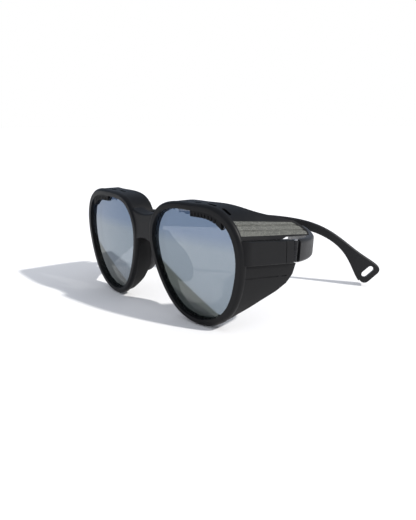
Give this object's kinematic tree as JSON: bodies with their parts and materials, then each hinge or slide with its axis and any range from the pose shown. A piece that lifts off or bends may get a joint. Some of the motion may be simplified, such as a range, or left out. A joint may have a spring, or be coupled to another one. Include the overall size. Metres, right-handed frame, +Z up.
{
  "type": "glacier glasses",
  "caption": "Wrap-round glacier glasses with mirrored lenses, brow hoods, side shields and hinged rubbery temples bent inwards.",
  "frame": {"origin": "on the table under the middle of the bridge, where the glasses stand on their rims and one temple tip", "axes": "+X to the wearer's left, +Y back along the temples, +Z up"},
  "size_m": [0.14, 0.1471, 0.0585],
  "materials": {
    "frame_plastic": "matt, fine texture",
    "shield_plastic": "matt",
    "grey_panel": "speckled satin",
    "mirror_lens": "blue-grey mirror coating",
    "vent_plastic": "matt",
    "pad_rubber": "soft matt",
    "temple_rubber": "satin soft-touch",
    "hinge_steel": "dark",
    "screw_steel": "plain",
    "core_steel": "plain"
  },
  "bodies": {
    "front": {"front_frame": "frame_plastic", "left_hinge_block": "frame_plastic", "left_hinge_front_leaf": "hinge_steel", "left_hinge_screw": "screw_steel", "left_hood": "frame_plastic", "left_lens": "mirror_lens", "left_lower_shield": "shield_plastic", "left_nasal_guard": "shield_plastic", "left_nose_pad": "pad_rubber", "left_side_panel": "grey_panel", "left_vent_comb": "vent_plastic", "right_hinge_block": "frame_plastic", "right_hinge_front_leaf": "hinge_steel", "right_hinge_screw": "screw_steel", "right_hood": "frame_plastic", "right_lens": "mirror_lens", "right_lower_shield": "shield_plastic", "right_nasal_guard": "shield_plastic", "right_nose_pad": "pad_rubber", "right_side_panel": "grey_panel", "right_vent_comb": "vent_plastic"},
    "left_temple_arm": {"left_temple": "temple_rubber", "left_core_wire": "core_steel", "left_hinge_rear_leaf": "hinge_steel"},
    "right_temple_arm": {"right_temple": "temple_rubber", "right_core_wire": "core_steel", "right_hinge_rear_leaf": "hinge_steel"}
  },
  "joints": [
    {"name": "right_temple_hinge", "type": "hinge", "parent": "front", "child": "right_temple_arm", "pos_m": [-0.068, 0.035, 0.0364], "axis": [0, -0.0889, -0.996], "range_deg": [-14, 0]},
    {"name": "left_temple_hinge", "type": "hinge", "parent": "front", "child": "left_temple_arm", "pos_m": [0.068, 0.035, 0.0364], "axis": [0, 0.0889, 0.996], "range_deg": [-6.1, 0]}
  ],
  "couplings": [
    {"joint": "left_temple_hinge", "follows": "right_temple_hinge", "ratio": 0.43}
  ]
}
